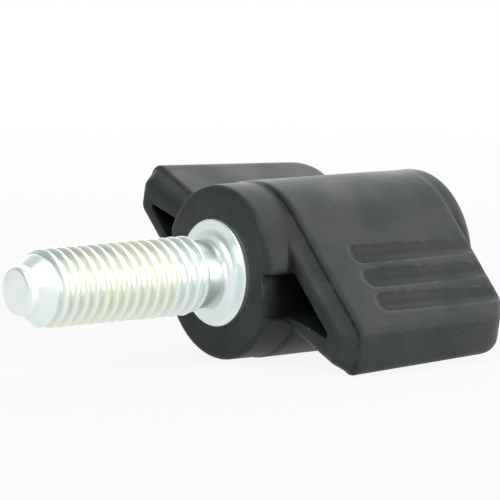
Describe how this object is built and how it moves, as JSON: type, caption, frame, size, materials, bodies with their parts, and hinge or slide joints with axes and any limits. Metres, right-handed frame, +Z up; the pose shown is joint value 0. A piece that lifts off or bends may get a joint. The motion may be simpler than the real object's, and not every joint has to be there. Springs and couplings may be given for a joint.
{
  "type": "wing screw",
  "caption": "Wing screw: a moulded plastic handle with grooved, swept wings on a round hub, holding a threaded steel stud with a flat collar, for tightening by hand.",
  "frame": {"origin": "on the screw axis, half way along the whole screw from the stud's point to the hub's back", "axes": "-X along the stud towards its point, +Z up with the screw lying on its hub and on one wing tip, -Y towards the wing that touches the surface"},
  "size_m": [0.0516, 0.0362, 0.0182],
  "materials": {
    "plastic": "fine-grained matt moulding, near black",
    "zinc_plate": "bright zinc plate, pale and slightly yellow-green"
  },
  "bodies": {
    "root": {"wing_handle": "plastic", "threaded_stud": "zinc_plate"}
  },
  "joints": []
}
